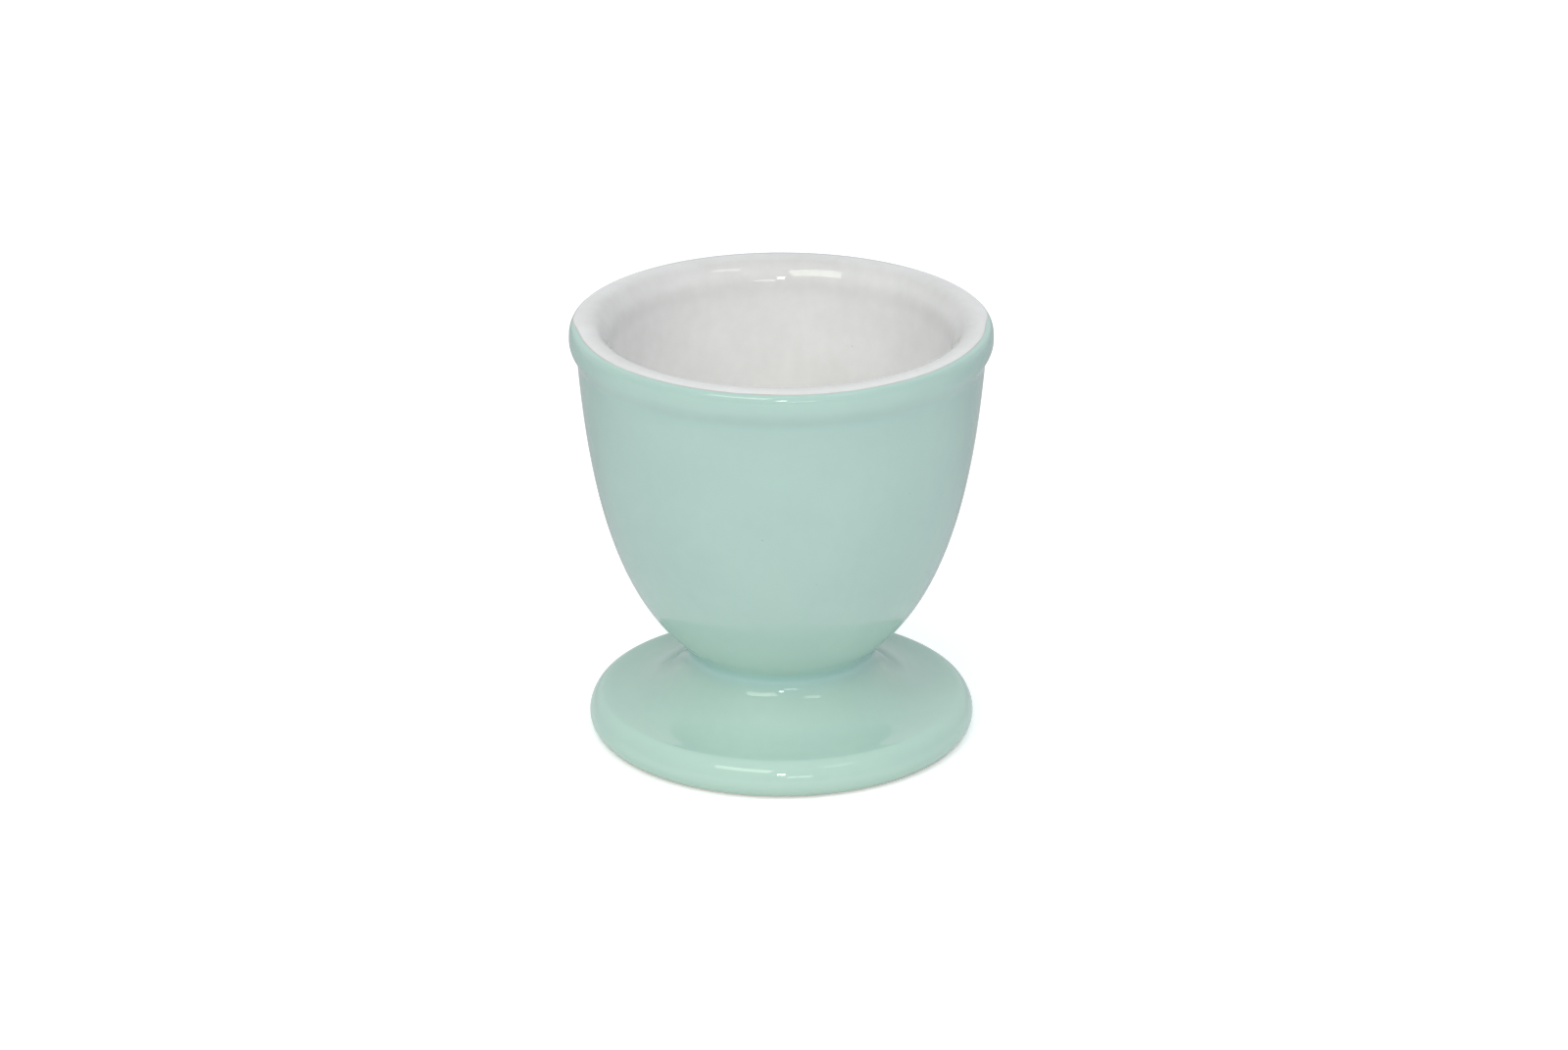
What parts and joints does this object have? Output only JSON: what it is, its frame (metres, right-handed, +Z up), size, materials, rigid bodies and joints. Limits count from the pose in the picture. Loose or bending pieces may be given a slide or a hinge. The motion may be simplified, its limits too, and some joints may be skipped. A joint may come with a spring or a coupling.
{
  "type": "egg cup",
  "caption": "Waisted ceramic egg cup with a rolled, beaded lip, a tapering rounded bowl and a dished round foot, mint glaze outside and white glaze inside.",
  "frame": {"origin": "on the cup's axis, in the plane of the bare standing ring that meets the table", "axes": "+Z up along the cup's axis, towards the mouth; X and Y are level, and the cup is round about Z"},
  "size_m": [0.051, 0.051, 0.0527],
  "materials": {
    "biscuit_china": "bare fired clay, matt",
    "white_glaze": "white gloss glaze",
    "mint_glaze": "pale mint green gloss glaze"
  },
  "bodies": {
    "root": {"bowl": "biscuit_china", "joining_slip": "biscuit_china", "foot": "biscuit_china", "lining_glaze": "white_glaze", "base_glaze": "white_glaze", "mint_glaze": "mint_glaze"}
  },
  "joints": []
}
